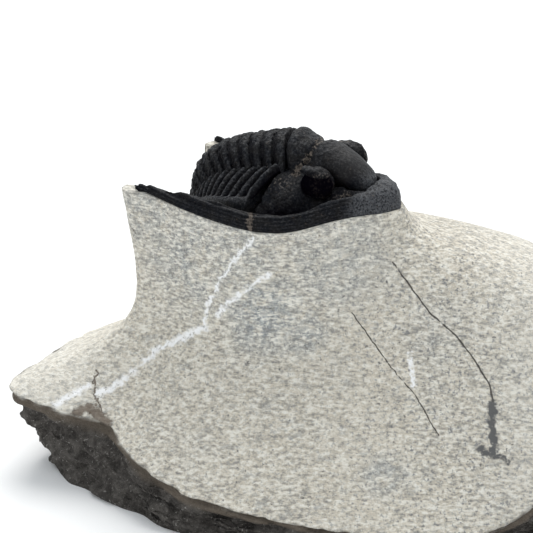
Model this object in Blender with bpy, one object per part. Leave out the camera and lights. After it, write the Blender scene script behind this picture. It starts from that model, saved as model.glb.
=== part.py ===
"""A small trilobite standing on a carved pedestal of its limestone matrix.

The fossil is modelled in its own frame (x towards the head, y to its left, z up) and
turned on the pedestal. The stone is a loft of closed rings about the same point.
Lengths below are millimetres; meshes are made in metres.
"""
import math

import bmesh
import bpy
from mathutils import Matrix, Vector, noise
from mathutils.geometry import interpolate_bezier

MM = 0.001
GAP = 0.3                       # clearance between pieces that touch
FOSSIL_AT = (-7.0, 2.2)         # where the fossil's own origin stands on the block
FOSSIL_TURN = -27.0             # degrees from +X to the way the head points

# Head shield: half outline from the middle of the front to the tip of the cheek spine
HEAD_OUTLINE = [(18.6, 0.0), (17.8, 2.2), (16.1, 4.4), (13.9, 6.5), (11.2, 8.5), (8.3, 10.1),
                (5.2, 11.1), (2.3, 11.5), (-1.0, 11.65), (-4.5, 11.7), (-8.8, 11.5), (-12.6, 11.2)]
SPINE_INNER_ROOT = (1.2, 9.6)
SPINE_INNER_TIP = (-12.3, 11.05)
CHEEK_CORNER_AT = 0.56          # share of the outline where the cheek turns into the spine
LEFT_SPINE_EXTRA = 1.0          # the left cheek spine is this much longer than the right one
LEFT_SPINE_FROM = (-3.0, 10.0)  # where that begins, and over what length
HEAD_REAR_X = 4.0
HEAD_STATIONS = 26

# Head plate: distance in from the edge, then height over the seat in front, beside the eye
# and over the cheek lobe behind it
PLATE_PROFILE = [(0.0, 0.9, 1.3, 1.3), (0.35, 2.0, 2.05, 2.05), (0.8, 2.55, 2.35, 2.35),
                 (1.35, 2.85, 2.1, 2.1), (1.9, 3.0, 1.7, 1.7), (2.4, 3.1, 2.6, 2.8),
                 (3.2, 3.25, 3.1, 4.4), (4.2, 3.45, 3.35, 5.3), (6.5, 3.6, 3.7, 5.8)]
FRONT_SHARE = 0.17              # share of the outline over which the brim turns into the border
LOBE_END = (7.2, 2.2)           # x where the cheek lobe begins to end, and over what length
REAR_DIP = 1.5                  # how far the cheek falls towards its rear corner
REAR_DIP_REACH = 2.0
REAR_DIP_FROM = (4.8, 2.5)      # distance from the middle where that begins, and its width
UNDERCUT = 0.15
BORDER_POINTS = 5               # rows of the profile that make the border
CHEEK_INSETS = ((0.5, 0.2), (1.3, 0.4), (2.3, 0.6), (4.6, 0.8))   # mm, or share of a narrow width
UNDERSIDE_SHARES = (0.0, 0.2, 0.4, 0.6, 0.8)

# Cheek spine: distance in from the edge and share of its crest's height, then its heights
SPINE_CREST = [(0.0, 0.55), (0.35, 0.87), (0.8, 1.0), (1.35, 0.9), (1.9, 0.7), (2.4, 0.35)]
SPINE_HEIGHTS = (2.35, 0.5)     # at the corner of the cheek and at the tip
SPINE_TAPER = 2.2
SPINE_ONSET = 5.0
BORDER_SHARE = 0.8              # most of a narrow spine's width that the border takes

# Swollen forms of the head: centre, radii and forward tilt in degrees
NOSE = ((11.3, 0.0, 39.75), (4.2, 3.5, 2.15), 32)
SNOUT = ((12.9, 0.0, 38.85), (2.5, 3.2, 1.75), 34)
CROWN = ((9.0, 0.0, 39.3), (2.7, 3.4, 3.3), 0)
NECK_KNOB = ((6.0, 0.0, 39.9), (2.0, 3.7, 3.9), -10)
NECK_SLOPE = ((6.5, 0.0, 41.1), (1.9, 2.8, 1.9), 20)
EYE = ((9.8, 5.1, 38.8), (2.25, 1.5, 2.1), 0)
LID = ((9.8, 5.0, 40.55), (2.2, 1.45, 0.45), 6)
EYE_ROLL = 0.08                 # the left eye stands higher, by this much for each mm outwards

# Saddle that the head shield rests on: lowest under the cheeks, rising to front and rear
SADDLE_LOW_X = 4.5
SADDLE_LOW_Z = 33.4
SADDLE_REAR_RISE = 3.95
SADDLE_TILT = 0.04              # the left cheek spine's tip stands higher than the right one's
SADDLE_REAR_REACH = 17.5
SADDLE_FRONT_RISE = 1.85
SADDLE_FRONT_START = 2.0
SADDLE_FRONT_REACH = 9.0

# Thorax: line of the ring tops along the middle, bending down to the tail
RING_TOPS = [(3.0, 43.4), (1.1, 42.95), (-1.1, 42.45), (-3.3, 41.85), (-5.5, 40.9), (-7.4, 39.5),
             (-8.8, 38.0), (-9.6, 36.6), (-10.0, 35.4)]
TAIL_TOPS = [(-10.0, 35.4), (-10.4, 34.3), (-10.7, 33.4), (-10.9, 32.5)]
SEGMENTS = 10
PITCHES = (1.75, 1.45)          # length of the first and last segment
AXIS_HALF_WIDTHS = (4.0, 2.6)   # at the first and last segment
BODY_HALF_WIDTHS = (8.8, 4.7)
BODY_NARROWING = 1.3
PLEURA_SWEEPS = (0.66, 0.72)    # how far the ribs run back for each mm outwards
RING_ARCH = 0.9                 # how far a ring's ends lie ahead of its middle
THORAX_FLOOR_XS = (4.1, -6.6)   # feet of the first and last division between segments
RING_SWELL = 0.035              # rounding of each segment's back, share of its height
SWELL_FADE = 3.0
SEGMENT_RINGS = ((0.0, -0.5), (0.2, 0.55), (0.5, 1.0), (0.8, 0.6), (1.0, -0.3))   # place, swelling

# Half section of the body: shares of the axis, of the ribs' reach and of the height
BODY_SECTION = [(0.0, 0.0, 1.0), (0.42, 0.0, 0.975), (0.75, 0.0, 0.9), (0.96, 0.0, 0.75),
                (1.0, 0.03, 0.63), (1.0, 0.3, 0.61), (1.0, 0.62, 0.48), (1.0, 0.88, 0.345),
                (1.0, 0.985, 0.28), (1.0, 0.93, 0.0)]

# Tail shield: its rings, where the first one stands, and how it narrows
TAIL_RINGS = 7
TAIL_START = 0.16
TAIL_TAPER = 0.93
TAIL_SWELLS = (-0.2, 0.8)
TAIL_SWEEP_LOSS = 0.75
TAIL_FOOT_X = -10.2
TAIL_CLEARANCE = 0.36

# Pocket between the cheek spines that the body sinks into
POCKET_FRONT_X = 4.5
POCKET_FRONT_Z = 33.1
POCKET_SLOPE = 0.119
POCKET_HALF_WIDTH = 9.15
POCKET_LENGTH = 27.0
POCKET_DEPTH = 12.0

# Stone: for each bearing from the fossil's origin, (distance, height) of the wall, the foot
# of the wall, the middle of the skirt and the edge, then the distance of the foot on the floor
STONE_BEARINGS = [
    (-166, (17.0, 26.0), (17.9, 19.5), (24.0, 14.7), (33.8, 10.8), 28.6),
    (-152, (14.2, 26.5), (15.0, 20.0), (19.5, 14.2), (26.6, 9.2), 28.2),
    (-144, (13.4, 27.0), (13.6, 20.5), (18.6, 13.5), (24.3, 8.4), 27.3),
    (-125, (12.3, 27.0), (13.4, 20.0), (18.8, 12.7), (25.9, 6.4), 26.6),
    (-110, (12.4, 27.0), (13.6, 20.0), (19.5, 12.4), (27.5, 5.0), 28.3),
    (-92, (12.7, 27.0), (14.2, 20.0), (21.0, 12.3), (29.5, 4.2), 29.8),
    (-70, (13.8, 27.5), (15.6, 21.0), (23.0, 13.0), (33.5, 3.0), 33.0),
    (-46, (17.0, 29.0), (21.0, 23.5), (30.0, 14.0), (41.0, 2.9), 40.5),
    (-25, (20.5, 31.8), (27.0, 29.3), (38.0, 25.0), (49.0, 20.0), 49.0),
    (-5, (19.5, 31.6), (27.0, 29.6), (36.0, 27.0), (45.0, 23.5), 46.0),
    (20, (17.0, 31.0), (25.0, 28.6), (34.0, 25.0), (44.0, 18.0), 45.0),
    (50, (14.5, 30.0), (20.0, 26.0), (26.0, 19.5), (34.0, 9.0), 34.5),
    (80, (13.8, 28.0), (16.5, 22.0), (21.5, 15.0), (27.0, 7.0), 27.0),
    (110, (16.6, 28.0), (18.0, 20.0), (22.0, 14.5), (27.5, 8.0), 27.0),
    (135, (13.6, 26.0), (15.5, 19.5), (21.0, 14.0), (28.0, 9.0), 27.5),
    (163, (13.5, 26.5), (15.2, 19.5), (19.0, 15.0), (25.0, 12.5), 24.5),
    (180, (15.2, 26.0), (16.7, 19.0), (21.5, 15.2), (29.0, 12.0), 26.5)]
HORN_TOP_Z = 36.7               # stone behind the spines' tips stays below this
HORN_TILT = 0.055
STONE_REAR_RIM = [(-14.1, -11.4), (-13.4, -6.0), (-12.9, 0.0), (-13.3, 6.0), (-13.5, 11.2)]
RIM_MARGIN = 0.25
RIM_STATIONS = 84
WALL_RINGS = 13
SIDE_RINGS = 4
TOP_SHARES = (0.93, 0.82, 0.66, 0.45, 0.22)
SIDE_ROUGHNESS = 0.9
BREAK_SCALE = 0.22              # how fast the broken side's lumps change, per mm
BREAK_STEP = 1.7                # how far apart its rings lie in the lumps
BREAK_SWELL = (0.4, 0.6)        # least roughness, and what is added halfway up


def blend(a, b, t):
    """Value between a and b."""
    return a + (b - a) * t


def smooth_step(t):
    """Ramp from 0 to 1 with level ends."""
    t = min(max(t, 0.0), 1.0)
    return t * t * (3.0 - 2.0 * t)


def curve_through(points, closed=False):
    """Smooth polyline through points, with its running length."""
    vectors = [Vector((*p, 0.0)) if len(p) == 2 else Vector(p) for p in points]
    count = len(vectors)
    spans = count if closed else count - 1
    line = [vectors[0]]
    for i in range(spans):
        a, b = vectors[i], vectors[(i + 1) % count]
        before = vectors[i - 1] if closed or i else a
        after = vectors[(i + 2) % count] if closed or i + 2 < count else b
        reach = (b - a).length / 3.0
        out = (b - before).normalized() * reach
        back = (after - a).normalized() * reach
        line += interpolate_bezier(a, a + out, b - back, b, 9)[1:]
    lengths = [0.0]
    for a, b in zip(line, line[1:]):
        lengths.append(lengths[-1] + (b - a).length)
    return line, lengths


def along(curve, share):
    """Point of a curve at a share of its length."""
    line, lengths = curve
    want = min(max(share, 0.0), 1.0) * lengths[-1]
    for i in range(len(lengths) - 1):
        if lengths[i + 1] >= want:
            step = lengths[i + 1] - lengths[i]
            return line[i].lerp(line[i + 1], (want - lengths[i]) / step if step else 0.0)
    return line[-1].copy()


def saddle(x, y):
    """Height of the seat under the head shield."""
    rear = max(SADDLE_LOW_X - x, 0.0) / SADDLE_REAR_REACH
    front = (x - SADDLE_LOW_X - SADDLE_FRONT_START) / SADDLE_FRONT_REACH
    rise = (SADDLE_REAR_RISE + SADDLE_TILT * y) * rear ** 1.4
    return SADDLE_LOW_Z + rise + SADDLE_FRONT_RISE * smooth_step(front)


def pocket_floor(x):
    """Height of the pocket's floor under the thorax."""
    return POCKET_FRONT_Z + POCKET_SLOPE * (x - POCKET_FRONT_X)


def new_material(name, colour, roughness):
    """Plain Principled material."""
    material = bpy.data.materials.new(name)
    material.use_nodes = True
    shader = material.node_tree.nodes["Principled BSDF"]
    shader.inputs["Base Color"].default_value = (*colour, 1.0)
    shader.inputs["Roughness"].default_value = roughness
    shader.inputs["Metallic"].default_value = 0.0
    return material


def add_object(name, mesh, collection, material=None):
    """Object of a mesh, in a collection."""
    obj = bpy.data.objects.new(name, mesh)
    collection.objects.link(obj)
    if material:
        mesh.materials.append(material)
        mesh.shade_smooth()
        mesh.set_sharp_from_angle(angle=math.radians(40))
    return obj


def loft(name, rings, collection, material=None, centres=None):
    """Closed solid through rings of equal length; centres give the ends a middle point."""
    bm = bmesh.new()
    rows = [[bm.verts.new(p * MM) for p in ring] for ring in rings]
    count = len(rings[0])
    for low, high in zip(rows, rows[1:]):
        for i in range(count):
            j = (i + 1) % count
            bm.faces.new((low[i], low[j], high[j], high[i]))
    for row, centre in zip((rows[0], rows[-1]), centres or (None, None)):
        if centre is None:
            bm.faces.new(row)
        else:
            middle = bm.verts.new(centre * MM)
            for i in range(count):
                bm.faces.new((row[i], row[(i + 1) % count], middle))
    bmesh.ops.recalc_face_normals(bm, faces=bm.faces[:])
    bmesh.ops.triangulate(bm, faces=bm.faces[:])
    mesh = bpy.data.meshes.new(name)
    bm.to_mesh(mesh)
    bm.free()
    return add_object(name, mesh, collection, material)


def ball(name, side, form, collection, segments, rings):
    """Scaled and tilted sphere on one side of the fossil, used as a tool for a Boolean."""
    centre, radii, tilt = form
    centre = Vector((centre[0], centre[1] * side, centre[2] + EYE_ROLL * centre[1] * side))
    bm = bmesh.new()
    bmesh.ops.create_uvsphere(bm, u_segments=segments, v_segments=rings, radius=1.0)
    place = (Matrix.Translation(centre * MM)
             @ Matrix.Rotation(math.radians(tilt), 4, "Y")
             @ Matrix.Diagonal((*[r * MM for r in radii], 1.0)))
    bm.transform(place)
    mesh = bpy.data.meshes.new(name)
    bm.to_mesh(mesh)
    bm.free()
    mesh.shade_smooth()
    return make_tool(add_object(name, mesh, collection))


def make_tool(obj):
    """Mark an object as a shaping tool that isn't part of the model."""
    obj.hide_render = True
    obj.display_type = "WIRE"
    return obj


def combine(obj, tool, operation):
    """Boolean modifier with the exact solver."""
    step = obj.modifiers.new(tool.name, "BOOLEAN")
    step.operation = operation
    step.solver = "EXACT"
    step.object = tool


def profile_at(profile, inset):
    """Row of a profile at a distance in from the edge."""
    for low, high in zip(profile, profile[1:]):
        if inset <= high[0]:
            t = (inset - low[0]) / (high[0] - low[0])
            return [blend(a, b, t) for a, b in zip(low[1:], high[1:])]
    return list(profile[-1][1:])


def head_station(share):
    """Outer and inner edge of the head shield's plate at a share of the half outline."""
    outer = along(HEAD_CURVE, share)
    if share < CHEEK_CORNER_AT:
        y = SPINE_INNER_ROOT[1] * share / CHEEK_CORNER_AT
        arch = RING_ARCH * min(y / AXIS_HALF_WIDTHS[0], 1.0) ** 2
        x = HEAD_REAR_X + arch - PLEURA_SWEEPS[0] * max(y - AXIS_HALF_WIDTHS[0], 0.0)
        inner = Vector((x, y, 0.0))
    else:
        t = (share - CHEEK_CORNER_AT) / (1.0 - CHEEK_CORNER_AT)
        inner = Vector((*SPINE_INNER_ROOT, 0.0)).lerp(Vector((*SPINE_INNER_TIP, 0.0)), t)
    return outer, inner


def plate_height(place, share, inset, to_rear):
    """Height of the head plate over its seat at a place and a distance in from the edge."""
    front = math.exp(-(share / FRONT_SHARE) ** 2)
    spine = max(share - CHEEK_CORNER_AT, 0.0) / (1.0 - CHEEK_CORNER_AT)
    brim, side, lobe = profile_at(PLATE_PROFILE, inset)
    lobed = (1.0 - smooth_step((place.x - LOBE_END[0]) / LOBE_END[1])) * (1.0 - front)
    cheek = blend(side, lobe, lobed)
    if inset > PLATE_PROFILE[BORDER_POINTS - 1][0]:
        dip = 1.0 - smooth_step(to_rear / REAR_DIP_REACH)
        cheek -= REAR_DIP * dip * smooth_step((place.y - REAR_DIP_FROM[0]) / REAR_DIP_FROM[1])
    crest = profile_at(SPINE_CREST, inset)[0] * blend(*SPINE_HEIGHTS, spine ** SPINE_TAPER)
    return blend(blend(cheek, brim, front), crest, min(spine * SPINE_ONSET, 1.0))


def head_section(share, side):
    """Closed cross-section of one half of the head shield's plate, from edge to rear margin."""
    outer, inner = head_station(share)
    width = (inner - outer).length
    inward = (inner - outer) / width
    insets = [row[0] for row in PLATE_PROFILE[:BORDER_POINTS]]
    squeeze = min(1.0, BORDER_SHARE * width / insets[-1])
    rest = width - insets[-1] * squeeze
    reaches = [(inset * squeeze, inset) for inset in insets]
    for step, share_of_rest in (*CHEEK_INSETS, (rest, 1.0)):
        reach = min(step, rest * share_of_rest)
        reaches.append((insets[-1] * squeeze + reach, insets[-1] + reach))
    spots = [(outer + inward * UNDERCUT * squeeze, 0.0)]
    for reach, inset in reaches:
        place = outer + inward * reach
        spots.append((place, plate_height(place, share, inset, width - reach)))
    spots += [(inner.lerp(outer, t), 0.0) for t in UNDERSIDE_SHARES]
    section = []
    for place, height in spots:
        x, y = place.x, place.y * side
        if side > 0:
            behind = min(max((LEFT_SPINE_FROM[0] - x) / LEFT_SPINE_FROM[1], 0.0), 1.0)
            x -= LEFT_SPINE_EXTRA * behind ** 2
        section.append(Vector((x, y, saddle(x, y) + height)))
    return section


def mirrored(points):
    """The same points on the other side of the fossil."""
    return [Vector((p.x, -p.y, p.z)) for p in points]


def make_cephalon(parts, tools, material):
    """Head shield with its border, cheek spines, swollen middle, rear knob and eyes."""
    shares = [i / HEAD_STATIONS for i in range(HEAD_STATIONS + 1)]
    rings = [head_section(share, -1) for share in reversed(shares[1:])]
    rings += [head_section(share, 1) for share in shares]
    head = loft("cephalon", rings, parts, material)
    middle = (("nose", NOSE, 18, 12), ("snout", SNOUT, 16, 10), ("crown", CROWN, 14, 8),
              ("neck_knob", NECK_KNOB, 16, 10), ("neck_slope", NECK_SLOPE, 14, 8))
    for name, form, segments, turns in middle:
        combine(head, ball(name, 1, form, tools, segments, turns), "UNION")
    for name, form, segments, turns in (("eye", EYE, 14, 8), ("lid", LID, 12, 6)):
        for side, word in ((1, "left"), (-1, "right")):
            combine(head, ball(name + "_" + word, side, form, tools, segments, turns), "UNION")
    return head


def division(step):
    """Plane between segments: top point, foot, half widths and sweep at a running number."""
    pitch_drop = (PITCHES[0] - PITCHES[1]) / SEGMENTS
    length = step * (PITCHES[0] - 0.5 * pitch_drop * step)
    whole = SEGMENTS * (PITCHES[0] - 0.5 * pitch_drop * SEGMENTS)
    share = length / whole
    top = along(RING_CURVE, share)
    back = smooth_step(step / SEGMENTS)
    foot_x = blend(*THORAX_FLOOR_XS, share)
    return (top, foot_x, blend(*AXIS_HALF_WIDTHS, back), blend(*BODY_HALF_WIDTHS, back ** BODY_NARROWING),
            blend(*PLEURA_SWEEPS, back))


def body_section(top, foot_x, axis, width, sweep, swell):
    """Arched cross-section of the body, closed along the pocket's floor."""
    foot = Vector((foot_x, 0.0, pocket_floor(foot_x) + GAP))
    crest = Vector((top.x, 0.0, top.y))
    points = []
    for inner, outer, up in BODY_SECTION:
        y = inner * axis + outer * (width - axis)
        place = foot.lerp(crest, up + swell * min(up * SWELL_FADE, 1.0))
        place.x += RING_ARCH * inner ** 2 - sweep * max(y - axis, 0.0)
        if up == 0.0:
            place.z = pocket_floor(place.x) + GAP
        points.append(Vector((place.x, y, place.z)))
    return list(reversed(points)) + mirrored(points[1:])


def make_segment(number, parts, material):
    """One rib of the thorax between two divisions, with a rounded back."""
    trim = 0.5 * GAP / PITCHES[0]
    rings = []
    for t, swell in SEGMENT_RINGS:
        step = number - 1 + blend(trim, 1.0 - trim, t)
        rings.append(body_section(*division(step), RING_SWELL * swell))
    return loft("thorax_segment_%02d" % number, rings, parts, material)


def make_pygidium(parts, material):
    """Small tail shield that closes the body, with a few low rings."""
    tail = curve_through(TAIL_TOPS)
    _, _, axis, reach, sweep = division(SEGMENTS)
    rings = []
    for i in range(TAIL_RINGS):
        t = i / (TAIL_RINGS - 1)
        top = along(tail, blend(TAIL_START, 1.0, t))
        foot_x = blend(THORAX_FLOOR_XS[1] - TAIL_CLEARANCE, TAIL_FOOT_X, t)
        taper = math.sqrt(1.0 - TAIL_TAPER * t * t)
        swell = RING_SWELL * TAIL_SWELLS[i % 2]
        rings.append(body_section(top, foot_x, axis * taper, reach * taper,
                                  sweep * (1.0 - TAIL_SWEEP_LOSS * t), swell))
    return loft("pygidium", rings, parts, material)


def stone_profile(bearing):
    """Wall, foot, skirt, edge and floor values at a bearing in degrees."""
    count = len(STONE_BEARINGS)
    for i in range(count):
        start = STONE_BEARINGS[i][0]
        span = (STONE_BEARINGS[(i + 1) % count][0] - start) % 360
        if (bearing - start) % 360 <= span:
            t = ((bearing - start) % 360) / span
            rows = [STONE_BEARINGS[(i + k) % count] for k in (-1, 0, 1, 2)]
            break
    flat = [[v for knot in row[1:5] for v in knot] + [row[5]] for row in rows]
    mixed = []
    for a, b, c, d in zip(*flat):
        slope_b, slope_c = (c - a) / 2.0, (d - b) / 2.0
        mixed.append(b * (2 * t ** 3 - 3 * t * t + 1) + slope_b * (t ** 3 - 2 * t * t + t)
                     + c * (3 * t * t - 2 * t ** 3) + slope_c * (t ** 3 - t * t))
    return mixed


def stone_rim():
    """Rim of the pedestal's top in the fossil's frame, clear of the spines' tips."""
    half = [Vector((x, y, 0.0)) for x, y in HEAD_OUTLINE[:-1]]
    loop = list(reversed(mirrored(half)))[:-1] + half
    loop += [Vector((x, y, 0.0)) for x, y in reversed(STONE_REAR_RIM)]
    curve = curve_through([tuple(p) for p in loop], closed=True)
    return [along(curve, i / RIM_STATIONS) for i in range(RIM_STATIONS)]


def stone_rings():
    """Rings of the stone from the floor up the broken side and the skirt to the top."""
    turn = Matrix.Rotation(math.radians(FOSSIL_TURN), 3, "Z")
    columns = []
    for place in stone_rim():
        rim_z = min(saddle(place.x, place.y), HORN_TOP_Z + HORN_TILT * place.y) - GAP
        spot = turn @ place
        reach = spot.length + RIM_MARGIN
        direction = spot.normalized()
        values = stone_profile(math.degrees(math.atan2(spot.y, spot.x)))
        knots = [(reach, rim_z)] + [tuple(values[k:k + 2]) for k in (0, 2, 4, 6)]
        wall = curve_through(knots)
        edge, floor_reach = values[6:8], values[8]
        column = []
        for k in range(SIDE_RINGS + 1):
            t = k / (SIDE_RINGS + 1)
            lump = noise.noise(Vector((direction.x, direction.y, 0)) * edge[0] * BREAK_SCALE
                               + Vector((0, 0, BREAK_STEP * k)))
            bulge = 2.0 * SIDE_ROUGHNESS * lump * (BREAK_SWELL[0] + BREAK_SWELL[1] * math.sin(math.pi * t))
            column.append((direction, blend(floor_reach, edge[0], t) + bulge, edge[1] * t))
        for k in range(WALL_RINGS + 1):
            p = along(wall, 1.0 - k / WALL_RINGS)
            column.append((direction, p.x, p.y))
        points = [Vector((d.x * r, d.y * r, z)) for d, r, z in column]
        for share in TOP_SHARES:
            inside = place * share
            spot = turn @ inside
            points.append(Vector((spot.x, spot.y, saddle(inside.x, inside.y) - GAP)))
        columns.append(points)
    return [[column[k] for column in columns] for k in range(len(columns[0]))]


def make_stone(parts, tools, material):
    """Limestone block, carved to a pedestal, with a pocket cut for the fossil's body."""
    rings = stone_rings()
    centres = (Vector((0, 0, 0)), Vector((0, 0, saddle(0.0, 0.0) - GAP)))
    stone = loft("limestone_matrix", rings, parts, material, centres)
    bm = bmesh.new()
    bmesh.ops.create_cube(bm, size=1.0)
    for v in bm.verts:
        x = POCKET_FRONT_X - (0.5 - v.co.x) * POCKET_LENGTH
        z = pocket_floor(x) + (POCKET_DEPTH if v.co.z > 0 else 0.0)
        v.co = Vector((x, v.co.y * 2.0 * POCKET_HALF_WIDTH, z)) * MM
    mesh = bpy.data.meshes.new("body_pocket")
    bm.to_mesh(mesh)
    bm.free()
    pocket = make_tool(add_object("body_pocket", mesh, tools))
    pocket.rotation_euler.z = math.radians(FOSSIL_TURN)
    combine(stone, pocket, "DIFFERENCE")
    return stone, pocket


def clear_scene():
    """Remove what a new file starts with."""
    for obj in list(bpy.data.objects):
        bpy.data.objects.remove(obj)


def build():
    """Make the whole specimen."""
    clear_scene()
    parts = bpy.data.collections.new("trilobite_fossil")
    tools = bpy.data.collections.new("cutters")
    for collection in (parts, tools):
        bpy.context.scene.collection.children.link(collection)
    stone_material = new_material("limestone", (0.42, 0.39, 0.34), 0.9)
    shell_material = new_material("black_calcite", (0.018, 0.017, 0.018), 0.5)

    place = bpy.data.objects.new("fossil_place", None)
    parts.objects.link(place)
    place.location = (FOSSIL_AT[0] * MM, FOSSIL_AT[1] * MM, 0.0)
    turned = bpy.data.objects.new("fossil_turned", None)
    parts.objects.link(turned)
    turned.parent = place
    turned.rotation_euler.z = math.radians(FOSSIL_TURN)

    stone, pocket = make_stone(parts, tools, stone_material)
    for obj in (stone, pocket):
        obj.parent = place
    pieces = [make_cephalon(parts, tools, shell_material)]
    pieces += [make_segment(i + 1, parts, shell_material) for i in range(SEGMENTS)]
    pieces.append(make_pygidium(parts, shell_material))
    for tool in tools.objects:
        if tool is not pocket:
            tool.parent = turned
    for piece in pieces:
        piece.parent = turned


HEAD_CURVE = curve_through(HEAD_OUTLINE)
RING_CURVE = curve_through(RING_TOPS)
build()
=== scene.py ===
"""Looks of a small black trilobite standing on a carved pedestal of pale limestone.

The stone, the head shield, the ten thorax segments and the tail shield each stand for
their CAD node. The fossil is shaped in its own frame (x towards the head, y to its left,
z up), with lengths in millimetres, and is then turned and set on the stone.
"""
import itertools
import math

import bpy
import numpy as np
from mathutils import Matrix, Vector, noise
from mathutils.bvhtree import BVHTree

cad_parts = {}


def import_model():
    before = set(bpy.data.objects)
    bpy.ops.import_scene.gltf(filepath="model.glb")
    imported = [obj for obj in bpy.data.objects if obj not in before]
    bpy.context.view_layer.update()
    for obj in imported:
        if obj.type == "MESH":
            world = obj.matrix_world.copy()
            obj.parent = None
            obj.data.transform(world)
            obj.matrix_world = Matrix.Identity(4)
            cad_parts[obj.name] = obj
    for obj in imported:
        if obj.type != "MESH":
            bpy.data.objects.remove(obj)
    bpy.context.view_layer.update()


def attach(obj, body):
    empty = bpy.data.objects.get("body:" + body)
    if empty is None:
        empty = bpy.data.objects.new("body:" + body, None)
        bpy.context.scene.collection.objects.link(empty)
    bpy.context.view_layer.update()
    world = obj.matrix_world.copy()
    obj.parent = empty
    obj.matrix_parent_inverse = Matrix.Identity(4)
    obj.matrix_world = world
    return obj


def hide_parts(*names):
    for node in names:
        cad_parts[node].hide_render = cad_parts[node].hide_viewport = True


MM = 0.001
FOSSIL_AT = (-7.0, 2.2)
FOSSIL_TURN = math.radians(-27.0)

# Camera of the photograph: place and aim in mm, square frame in pixels
CAMERA_AT = (-6.81, -179.7, 90.77)
CAMERA_AIM = (-6.81, -1.15, 25.78)
CAMERA_LENS = 100.1
SENSOR_WIDTH = 36.0
PHOTO_SIDE = 533

# Forms shared with the CAD source
HEAD_OUTLINE = [(18.6, 0.0), (17.8, 2.2), (16.1, 4.4), (13.9, 6.5), (11.2, 8.5), (8.3, 10.1),
                (5.2, 11.1), (2.3, 11.5), (-1.0, 11.65), (-4.5, 11.7), (-8.8, 11.5), (-12.6, 11.2)]
SPINE_INNER_ROOT = (1.2, 9.6)
SPINE_INNER_TIP = (-12.3, 11.05)
CHEEK_CORNER_AT = 0.56
HEAD_REAR_X = 4.0
LEFT_SPINE_EXTRA = 1.0
LEFT_SPINE_FROM = (-3.0, 10.0)
# Head plate: distance from the edge, then height over the seat in front, beside the eye
# and over the cheek lobe
PLATE_PROFILE = [(0.0, 0.9, 1.3, 1.3), (0.35, 2.0, 2.05, 2.05), (0.8, 2.55, 2.35, 2.35),
                 (1.35, 2.85, 2.1, 2.1), (1.9, 3.0, 1.7, 1.7), (2.4, 3.1, 2.6, 2.8),
                 (3.2, 3.25, 3.6, 4.4), (4.2, 3.4, 4.1, 5.3), (6.5, 3.5, 4.4, 5.8)]
BORDER_WIDTH = 2.4
LOBE_END = (7.2, 2.2)
REAR_DIP = 2.2
REAR_DIP_REACH = 3.2
REAR_DIP_FROM = (4.8, 2.5)
SPINE_CREST = [(0.0, 0.55), (0.35, 0.87), (0.8, 1.0), (1.35, 0.9), (1.9, 0.7), (2.4, 0.35)]
SPINE_HEIGHTS = (2.35, 0.5)
SPINE_TAPER = 2.2
SPINE_ONSET = 5.0
FRONT_SHARE = 0.17
NOSE = ((11.1, 0.0, 39.55), (4.1, 3.2, 2.0), 33)
SNOUT = ((13.0, -0.1, 38.45), (2.45, 2.95, 1.55), 37)
CROWN = ((8.9, 0.0, 39.3), (2.6, 3.3, 3.25), 0)
NECK_KNOB = ((5.75, 0.0, 39.9), (1.85, 3.9, 4.0), -14)
NECK_SLOPE = ((6.3, 0.0, 41.2), (1.9, 2.8, 1.9), 20)
EYE = ((9.8, 4.95, 38.9), (2.1, 1.45, 2.0), 0)
LID = ((9.5, 5.3, 40.4), (1.8, 1.0, 0.38), 10)
EYE_ROLL = 0.08
MOAT = 0.45
# Furrow inside the border: distance from the edge, half width and depth, then its ends along x
BORDER_FURROW = (2.9, 1.6, 1.6)
FURROW_ENDS = (-1.0, 12.5)
FURROW_FADE = 3.0
FILLETS = {"plate": 0.3, "nose": 0.5, "moat": 0.2, "crown": 0.7, "knob": 0.6, "lid": 0.45,
           "neck": 0.35, "head": 0.12, "eye": 0.55}
HEAD_SINK = 0.3
HEAD_BOX = ((-14.3, -12.3, 32.6), (19.3, 12.3, 44.6))
NECK_FURROW = [(7.75, 0.6, 42.4), (7.3, 2.0, 41.1), (6.7, 3.5, 39.8), (6.3, 4.3, 39.0)]
SADDLE_LOW = (4.5, 33.4)
SADDLE_REAR = (3.95, 17.5)
SADDLE_TILT = 0.04
SADDLE_FRONT = (1.85, 2.0, 9.0)
RING_TOPS = [(3.75, 43.45), (1.1, 42.95), (-1.1, 42.45), (-3.3, 41.85), (-5.5, 41.0), (-7.8, 39.6),
             (-9.3, 38.0), (-10.0, 36.6), (-10.3, 35.4)]
TAIL_TOPS = [(-10.3, 35.4), (-10.6, 34.3), (-10.8, 33.4), (-10.9, 32.5)]
SEGMENTS = 10
PITCHES = (1.75, 1.45)
RING_ARCH = 0.9
AXIS_HALF_WIDTHS = (4.0, 2.6)
BODY_HALF_WIDTHS = (8.8, 4.7)
PLEURA_SWEEPS = (0.66, 0.72)
THORAX_FLOOR_XS = (4.1, -6.6)
BODY_NARROWING = 1.3
# Half cross-section of the body: axial share, pleural share and height, each 0 to 1
BODY_SECTION = [(0.0, 0.0, 1.0), (0.42, 0.0, 0.975), (0.75, 0.0, 0.9), (0.94, 0.0, 0.77),
                (1.0, 0.01, 0.67), (1.0, 0.05, 0.635), (1.0, 0.14, 0.65), (1.0, 0.5, 0.53),
                (1.0, 0.84, 0.36), (1.0, 0.93, 0.335), (1.0, 0.985, 0.29), (1.0, 1.0, 0.2),
                (1.0, 0.93, 0.0)]
SECTION_SIZE = (4.0, 4.5, 9.5)
# Relief of a segment, as shares of its height
RING_SWELL = 0.043
SLOT_DEPTHS = (0.105, 0.05)
BLADE_HEIGHT = 0.022
PIT_DEPTH = 0.13
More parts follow.
